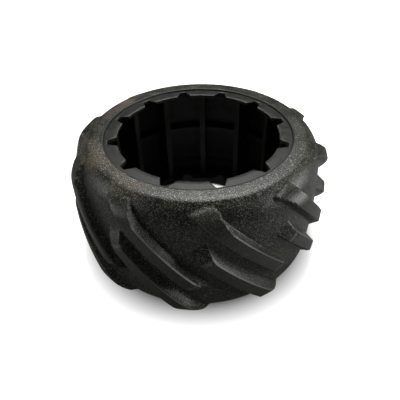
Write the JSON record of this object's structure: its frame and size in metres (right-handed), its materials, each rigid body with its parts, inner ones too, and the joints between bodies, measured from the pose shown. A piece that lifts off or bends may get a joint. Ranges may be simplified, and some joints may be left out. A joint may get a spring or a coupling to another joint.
{
  "type": "robotic mower tire",
  "caption": "Hollow rubber drive tire with slanted tread lugs, rounded shoulders, tabbed inner flanges and upright ribs inside.",
  "frame": {"origin": "on the axle line, in the plane of the lower lip that the tire stands on", "axes": "+Z along the axle line, up from the lower lip; -Y faces the picture's viewer"},
  "size_m": [0.24, 0.24, 0.117],
  "materials": {
    "rubber": "matte moulded rubber with a fine grain"
  },
  "bodies": {
    "root": {"tire": "rubber"}
  },
  "joints": []
}
